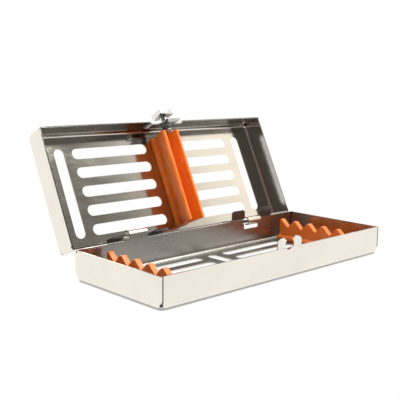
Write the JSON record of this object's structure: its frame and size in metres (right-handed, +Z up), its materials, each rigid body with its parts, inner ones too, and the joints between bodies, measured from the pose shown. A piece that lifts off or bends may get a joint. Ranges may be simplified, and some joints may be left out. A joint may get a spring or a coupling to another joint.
{
  "type": "instrument cassette",
  "caption": "Hinged slotted steel tray and lid with toothed silicone racks, a silicone press bar and a turn latch, for holding slim hand instruments.",
  "frame": {"origin": "centre of the bounding box's underside, lid at its open stop, on the plane the tray stands on", "axes": "+X to the right along the front wall, +Y from the front wall to the hinges and the open lid, +Z up"},
  "size_m": [0.18, 0.1182, 0.0897],
  "materials": {
    "brushed_steel": "satin rolled sheet",
    "bright_steel": "polished",
    "spring_steel": "drawn wire",
    "orange_silicone": "soft matte moulding"
  },
  "bodies": {
    "tray": {"tray_base": "brushed_steel", "tooth_rack_left": "orange_silicone", "tooth_rack_right": "orange_silicone"},
    "lid": {"lid_shell": "brushed_steel", "press_bar": "orange_silicone", "latch_washer": "bright_steel", "latch_spring": "spring_steel"},
    "latch_plunger": {"latch_pin": "bright_steel", "latch_cap": "bright_steel"},
    "latch_turn_key": {"latch_knob": "bright_steel", "latch_cam": "bright_steel"}
  },
  "joints": [
    {"name": "lid_hinge", "type": "hinge", "parent": "tray", "child": "lid", "pos_m": [0, 0.01367, 0.0163], "axis": [1, 0, 0], "range_deg": [0, 115.8]},
    {"name": "latch_pull", "type": "slide", "parent": "lid", "child": "latch_plunger", "axis": [0, 0.4352, 0.9003], "range_m": [0, 0.0006], "stiffness_N_per_m": 600, "springref_m": -0.001, "deforming": ["latch_spring"]},
    {"name": "latch_turn", "type": "hinge", "parent": "latch_plunger", "child": "latch_turn_key", "pos_m": [0.003, 0.04787, 0.08063], "axis": [0, 0.4352, 0.9003], "range_deg": [0, 90]}
  ]
}
